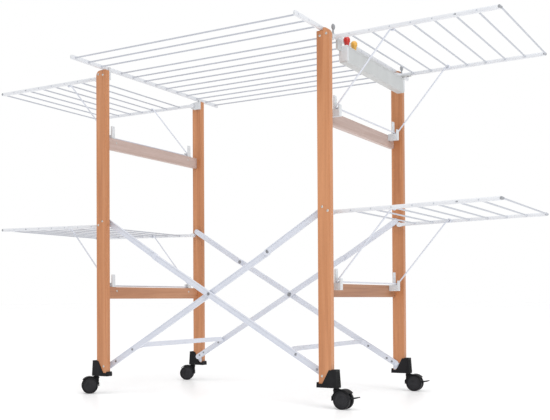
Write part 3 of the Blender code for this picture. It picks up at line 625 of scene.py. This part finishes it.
# ---------------------------------------------------------------- wire wings
WING_WIRE = 0.0023
REACH = 0.457
for side in SIDES:
    sign = -1.0 if side == "left" else 1.0
    for level in LEVELS:
        joint = joints["wing_%s_%s_fold" % (side, level)]
        pivot = Vector(joint["pos_m"])
        tilt = math.radians(0.3 if level == "upper" else 1.0)
        out = Vector((sign * math.cos(tilt), 0, math.sin(tilt)))
        up = Vector((-sign * math.sin(tilt), 0, math.cos(tilt)))
        mid_y = pivot.y
        bars, rods, ends = bmesh.new(), bmesh.new(), bmesh.new()
        for hand in (-1.0, 1.0):
            y = hand * (DEPTH / 2 - 0.0325)
            middle = Vector((pivot.x, mid_y + y, pivot.z))
            add(bars, rail(middle + out * -0.0062, middle + out * REACH, up, 0.0110, 0.0105, 0.0030, 0.0026))
            # pivot eye, tip button and the rivet that pinches the rail at three quarters of its length
            eye = turned([(-0.0056, 0.0), (-0.0056, 0.0064), (-0.0048, 0.0072), (0.0048, 0.0072),
                          (0.0056, 0.0064), (0.0056, 0.0)], 36)
            eye.transform(aimed(middle, (0, 1, 0)))
            add(bars, eye)
            button = turned([(-0.0060, 0.0), (-0.0060, 0.0030), (-0.0052, 0.0043),
                             (0.0052, 0.0043), (0.0060, 0.0030), (0.0060, 0.0)], 28)
            button.transform(aimed(middle + out * (REACH - 0.0018), (0, 1, 0)))
            add(ends, button)
            pinch = middle + out * 0.345 + Vector((0, hand * 0.0054, 0))
            add(ends, rivet(pinch, (0, hand, 0), 0.0024, 0.0008))
            if level == "lower":
                boss = turned([(0.0, 0.0), (0.0, 0.0064), (0.0066, 0.0064), (0.0073, 0.0056),
                               (0.0073, 0.0)], 32)
                boss.transform(aimed(middle + Vector((0, hand * 0.0050, 0)), (0, hand, 0)))
                add(bars, boss)
            for k in range(8):
                at = middle + out * (0.0545 + 0.0575 * k)
                add(rods, weld_ring(at + Vector((0, -hand * 0.0054, 0)), (0, -hand, 0), WING_WIRE, 0.0026))
                # the wire's end shows as a flat spot on the rail's outer face
                stub = turned([(0.0, 0.0), (0.0, WING_WIRE * 1.02), (0.0004, WING_WIRE * 0.9),
                               (0.0006, 0.0)], 14)
                stub.transform(aimed(at + Vector((0, hand * 0.0054, 0)), (0, hand, 0)))
                add(rods, stub)
        for k in range(8):
            at = Vector((pivot.x, mid_y, pivot.z)) + out * (0.0545 + 0.0575 * k)
            reach = Vector((0, DEPTH / 2 - 0.0345, 0))
            add(rods, tube([at - reach, at - reach * 0.5, at, at + reach * 0.5, at + reach], WING_WIRE, 14))
        body = "wing_%s_%s" % (side, level)
        piece(body + "_rails", bars, WHITE_RAIL, body, [body])
        piece(body + "_wires", rods, WIRE_COAT_PAINTED_SHADE, body)
        piece(body + "_ends", ends, GREY_KNOB, body)

# ---------------------------------------------------------------- wire stays
EYE = 0.0050
for side in SIDES:
    sign = -1.0 if side == "left" else 1.0
    for level in LEVELS:
        joint = joints["stay_%s_%s_swing" % (side, level)]
        hinge = Vector(joint["pos_m"])
        low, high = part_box("stay_%s_%s" % (side, level))
        foot_x = low.x + 0.0023 if side == "right" else high.x - 0.0023
        foot = Vector((foot_x, 0, low.z + 0.0023))
        near_y, far_y = low.y + 0.0022, high.y - 0.0022
        top = Vector((hinge.x, 0, hinge.z))
        line = foot - top
        length = line.length
        line.normalize()
        across = Vector((line.z, 0, -line.x)) * (1.0 if side == "right" else -1.0)
        leg_top = top + across * EYE
        radius = 0.0060

        def run(y, order):
            """Down one leg, round the corner and on to the cross bar."""
            flat = Vector((0, 1, 0)) * (1.0 if y < (near_y + far_y) / 2 else -1.0)
            base = Vector((foot.x, y, foot.z))
            head = Vector((leg_top.x, y, leg_top.z))
            down = (base - head).normalized()
            points = [head, head + down * (length * 0.3), head + down * (length * 0.65)]
            for i in range(9):
                a = math.pi / 2 * i / 8
                points.append(base - down * radius * (1 - math.sin(a)) + flat * radius * (1 - math.cos(a)))
            return points if order > 0 else list(reversed(points))

        path = run(near_y, 1) + [Vector((foot.x, (near_y + far_y) / 2, foot.z))] + run(far_y, -1)
        bm = bmesh.new()
        add(bm, tube(path, 0.0022, 14))
        for y in (near_y, far_y):
            start = math.atan2(across.z, across.x)
            loop = [Vector((top.x + EYE * math.cos(start + a), y, top.z + EYE * math.sin(start + a)))
                    for a in (2 * math.pi * i / 28 for i in range(28))]
            add(bm, tube(loop, 0.0021, 12, closed=True))
        body = "stay_%s_%s" % (side, level)
        piece(body + "_wire", bm, WHITE_STEEL, body, [body])

# ---------------------------------------------------------------- top grid
low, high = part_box("top_grid")
rail_x = (low.x + 0.004, high.x - 0.004)
rail_z = (low.z + high.z) / 2
bars, rods, ends = bmesh.new(), bmesh.new(), bmesh.new()
for x in rail_x:
    add(bars, rail((x, low.y, rail_z), (x, high.y, rail_z), (0, 0, 1), 0.0080, 0.0130, 0.0026, 0.0024))
    for y in (low.y, high.y):
        cap = turned([(-0.0034, 0.0), (-0.0034, 0.0040), (-0.0026, 0.0052), (0.0026, 0.0052),
                      (0.0034, 0.0040), (0.0034, 0.0)], 24)
        cap.transform(aimed((x, y + (0.0036 if y == low.y else -0.0036), rail_z), (1, 0, 0)))
        add(ends, cap)
grid_wires = [low.y + 0.015, low.y + 0.072, low.y + 0.129]
first = FRONT + 0.083
pitch = (high.y - 0.022 - first) / 9
grid_wires += [first + k * pitch for k in range(10)]
wire_z = low.z + 0.0062
for y in grid_wires:
    span = rail_x[1] - rail_x[0]
    add(rods, tube([(rail_x[0] + span * t, y, wire_z) for t in (0.0, 0.25, 0.5, 0.75, 1.0)], 0.0023, 14))
    for x, inward in ((rail_x[0], 1.0), (rail_x[1], -1.0)):
        add(rods, weld_ring((x + inward * 0.0039, y, wire_z), (inward, 0, 0), 0.0023, 0.0028))
        stub = turned([(0.0, 0.0), (0.0, 0.0024), (0.0005, 0.0021), (0.0007, 0.0)], 14)
        stub.transform(aimed((x - inward * 0.0039, y, wire_z), (-inward, 0, 0)))
        add(rods, stub)
piece("top_grid_rails", bars, WHITE_RAIL, "top_grid", ["top_grid"])
piece("top_grid_wires", rods, WIRE_COAT_PAINTED_SHADE, "top_grid")
piece("top_grid_ends", ends, WHITE_MOULD, "top_grid")

# ---------------------------------------------------------------- castors
for side in SIDES:
    for row in ROWS:
        joint = joints["roll_%s_%s" % (side, row)]
        hub = Vector(joint["pos_m"])
        axle = Vector(joint["axis"])
        heading = math.atan2(-axle.x, axle.y)
        tyres, discs = bmesh.new(), bmesh.new()
        for hand in (-1.0, 1.0):
            tyre = turned([(0.0045, 0.0035), (0.0045, 0.0222), (0.0051, 0.0241), (0.0063, 0.0250),
                           (0.0090, 0.0250), (0.0092, 0.02465), (0.0096, 0.02465), (0.0098, 0.0250),
                           (0.0124, 0.0250), (0.0137, 0.0243), (0.0144, 0.0230), (0.0145, 0.0214),
                           (0.0141, 0.0204), (0.0133, 0.0198), (0.0120, 0.0196), (0.0120, 0.0035)], 56)
            tyre.transform(aimed(hub, axle * hand))
            add(tyres, tyre)
            disc = turned([(0.0060, 0.0195), (0.0128, 0.0195), (0.0131, 0.0190), (0.0131, 0.0172),
                           (0.0127, 0.0166), (0.0126, 0.0100), (0.0129, 0.0094), (0.0137, 0.0088),
                           (0.0141, 0.0072), (0.0143, 0.0040), (0.0144, 0.0)], 56)
            disc.transform(aimed(hub, axle * hand))
            add(discs, disc)
        axle_bar = turned([(-0.0060, 0.0030), (0.0060, 0.0030)], 24)
        axle_bar.transform(aimed(hub, axle))
        add(discs, axle_bar)
        body = "wheels_%s_%s" % (side, row)
        piece("tyres_%s_%s" % (side, row), tyres, TYRE_BLACK, body,
              ["castor_wheels_%s_%s" % (side, row)])
        piece("wheel_discs_%s_%s" % (side, row), discs, DISC_BLACK, body)
        # hood: a curved shell over both wheels with a straight back and a turned-down edge
        stem = Vector((joints["swivel_%s_%s" % (side, row)]["pos_m"]))
        turn = Matrix.Translation((stem.x, stem.y, 0)) @ Matrix.Rotation(heading, 4, "Z")
        rings = []
        wheel = (0.021, 0.025)
        shell = section(0.0292, 0.0019, 0.0009, 3)
        for i in range(20):
            r = math.radians(40 + 6 * i)
            place = Vector((wheel[0] + 0.02745 * math.cos(r), 0, wheel[1] + 0.02745 * math.sin(r)))
            outward = Vector((math.cos(r), 0, math.sin(r)))
            rings.append([place + outward * thick + Vector((0, wide, 0)) for wide, thick in shell])
        for z in (0.034, 0.028, 0.0225):
            place = Vector((wheel[0] - 0.0279, 0, z))
            rings.append([place + Vector((-thick, wide, 0)) for wide, thick in shell])
        hood = skin(rings)
        hood.transform(turn)
        bm = bmesh.new()
        add(bm, hood)
        collar = turned([(0.0478, 0.0), (0.0478, 0.0092), (0.0505, 0.0092), (0.0518, 0.0080),
                         (0.0541, 0.0074), (0.0541, 0.0)], 36)
        collar.transform(Matrix.Translation((stem.x, stem.y, 0)))
        add(bm, collar)
        piece("castor_hood_%s_%s" % (side, row), bm, BLACK_MOULD, "castor_%s_%s" % (side, row))

# ribs and the open slot's frame on the castor feet
for side in SIDES:
    bm = bmesh.new()
    for row in ROWS:
        for y in (0.0026, 0.0096, 0.0166):
            rib = pressed([(-0.0190, -0.0080), (-0.0170, -0.0080), (-0.0138, 0.0350), (-0.0156, 0.0320)],
                          y - 0.0010, y + 0.0010, 0.0003, 1)
            rib.transform(corner(side, row))
            add(bm, rib)
        lip = rounded_box((-0.0150, -0.0032, 0.0362), (-0.0008, POST_THICK + 0.0032, 0.0384), 0.0007)
        lip.transform(corner(side, row))
        add(bm, lip)
    piece("foot_ribs_%s" % side, bm, BLACK_MOULD, "ladder_%s" % side)

# ---------------------------------------------------------------- peg box trim and pegs
low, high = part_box("peg_box")
box_y = (FRONT + 0.0615, FRONT + DEPTH - 0.0615)
box_z = (FOOT + 0.8655, FOOT + 0.9110)
box_x = (LEFT + SPAN, LEFT + SPAN + 0.0250)
bm = bmesh.new()
for y0, y1 in ((box_y[0] - 0.0016, box_y[0] + 0.0090), (box_y[1] - 0.0090, box_y[1] + 0.0016)):
    sleeve = rounded_box((box_x[0] - 0.0008, y0, box_z[0] + 0.0040),
                         (box_x[1] + 0.0008, y1, box_z[1] + 0.0012), 0.0022, 4)
    bmesh.ops.delete(sleeve, geom=[f for f in sleeve.faces if f.normal.z > 0.9], context="FACES")
    bmesh.ops.solidify(sleeve, geom=sleeve.faces[:], thickness=0.0009)
    add(bm, sleeve)
piece("peg_box_sleeves", bm, WHITE_MOULD, "wing_right_upper")
places = [(Vector((box_x[0] + x, box_y[1] + 0.0135, FOOT + 0.9196)), Vector((0, 0, -1)), 0.3 + 40.0 * x)
          for x in (0.0150, 0.0310)]
piece("peg_box_screws", screws(places), RIVET_STEEL, "wing_right_upper")

for name, material, slot, y in (("peg_red", RED_MOULD, "red_plastic", 0.083),
                                ("peg_yellow", YELLOW_MOULD, "yellow_plastic", 0.130)):
    low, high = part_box(name)
    tall = high.z - low.z
    body = turned([(0.0, 0.0), (0.0, 0.0044), (0.004, 0.0060), (0.020, 0.0062), (0.034, 0.0060),
                   (0.046, 0.0058), (0.052, 0.0062), (0.056, 0.0072), (0.060, 0.0086), (0.0632, 0.0092),
                   (0.0670, 0.0091), (0.0702, 0.0080), (0.0724, 0.0062), (0.0738, 0.0036), (tall, 0.0)], 36)
    bm = bmesh.new()
    middle = Vector(((low.x + high.x) / 2, (low.y + high.y) / 2, low.z))
    add(bm, body, Matrix.Translation(middle))
    for z in (0.0600, 0.0660):
        band = turned([(z, 0.0084), (z + 0.0004, 0.0094), (z + 0.0012, 0.0094), (z + 0.0016, 0.0084)], 36)
        add(bm, band, Matrix.Translation(middle))
    piece(name + "_moulding", bm, material, "wing_right_upper", [name])

# ---------------------------------------------------------------- floor, light and camera
bm = bmesh.new()
bmesh.ops.create_grid(bm, x_segments=4, y_segments=4, size=60.0)
mesh = bpy.data.meshes.new("studio_floor")
bm.to_mesh(mesh)
bm.free()
floor = bpy.data.objects.new("studio_floor", mesh)
bpy.context.scene.collection.objects.link(floor)
mat, tree, shader = wired("pale_floor", 0.32, spec=0.35)
drift = noise(tree, stretched(tree, (1.0, 1.0, 1.0)), 3.0, 2.0)
shade = ramp(tree, drift, [(0.3, (0.90, 0.90, 0.905)), (0.7, (0.92, 0.92, 0.92))])
tree.links.new(shade, shader.inputs["Base Color"])
shader.inputs["Emission Color"].default_value = (1.0, 1.0, 1.0, 1.0)
shader.inputs["Emission Strength"].default_value = 0.17
mesh.materials.append(mat)

world = bpy.data.worlds.new("studio")
bpy.context.scene.world = world
world.use_nodes = True
tree = world.node_tree
back = tree.nodes["Background"]
back.inputs["Color"].default_value = (1.0, 1.0, 1.0, 1.0)
back.inputs["Strength"].default_value = 0.62
seen = tree.nodes.new("ShaderNodeBackground")
seen.inputs["Color"].default_value = (1.0, 1.0, 1.0, 1.0)
seen.inputs["Strength"].default_value = 1.0
path_node = tree.nodes.new("ShaderNodeLightPath")
mix = tree.nodes.new("ShaderNodeMixShader")
tree.links.new(path_node.outputs["Is Camera Ray"], mix.inputs["Fac"])
tree.links.new(back.outputs["Background"], mix.inputs[1])
tree.links.new(seen.outputs["Background"], mix.inputs[2])
tree.links.new(mix.outputs["Shader"], tree.nodes["World Output"].inputs["Surface"])


def softbox(name, place, aim, size, power):
    light = bpy.data.lights.new(name, "AREA")
    light.shape = "RECTANGLE"
    light.size, light.size_y = size
    light.energy = power
    obj = bpy.data.objects.new(name, light)
    bpy.context.scene.collection.objects.link(obj)
    obj.location = place
    obj.rotation_euler = (Vector(aim) - Vector(place)).to_track_quat("-Z", "Y").to_euler()
    obj.visible_camera = False
    return obj


softbox("key_softbox", (2.8, -1.6, 2.2), (0.0, 0.0, 0.5), (1.8, 1.8), 26.0)
softbox("left_softbox", (-3.0, -1.2, 1.6), (0.0, 0.0, 0.5), (1.8, 1.8), 8.0)
sun = bpy.data.lights.new("overhead", "SUN")
sun.energy = 1.45
sun.angle = math.radians(55)
overhead = bpy.data.objects.new("overhead", sun)
bpy.context.scene.collection.objects.link(overhead)
overhead.rotation_euler = (math.radians(14), math.radians(16), 0.0)

EYE_PLACE = (1.4257, -2.2863, 0.2891)
YAW, PITCH, ROLL = 0.52903, 0.015386, -0.005719
forward = Vector((-math.sin(YAW) * math.cos(PITCH), math.cos(YAW) * math.cos(PITCH), math.sin(PITCH)))
right = Vector((math.cos(YAW), math.sin(YAW), 0.0))
up = right.cross(forward)
across = right * math.cos(ROLL) + up * math.sin(ROLL)
above = up * math.cos(ROLL) - right * math.sin(ROLL)
lens = bpy.data.cameras.new("view")
camera = bpy.data.objects.new("view", lens)
bpy.context.scene.collection.objects.link(camera)
camera.matrix_world = Matrix((*((across[i], above[i], -forward[i], EYE_PLACE[i]) for i in range(3)),
                              (0, 0, 0, 1)))
lens.sensor_width = 36.0
lens.lens = 56.30
lens.shift_x = 0.0019
lens.shift_y = 0.1392
lens.clip_start = 0.05
bpy.context.scene.camera = camera
bpy.context.scene.view_settings.view_transform = "Standard"
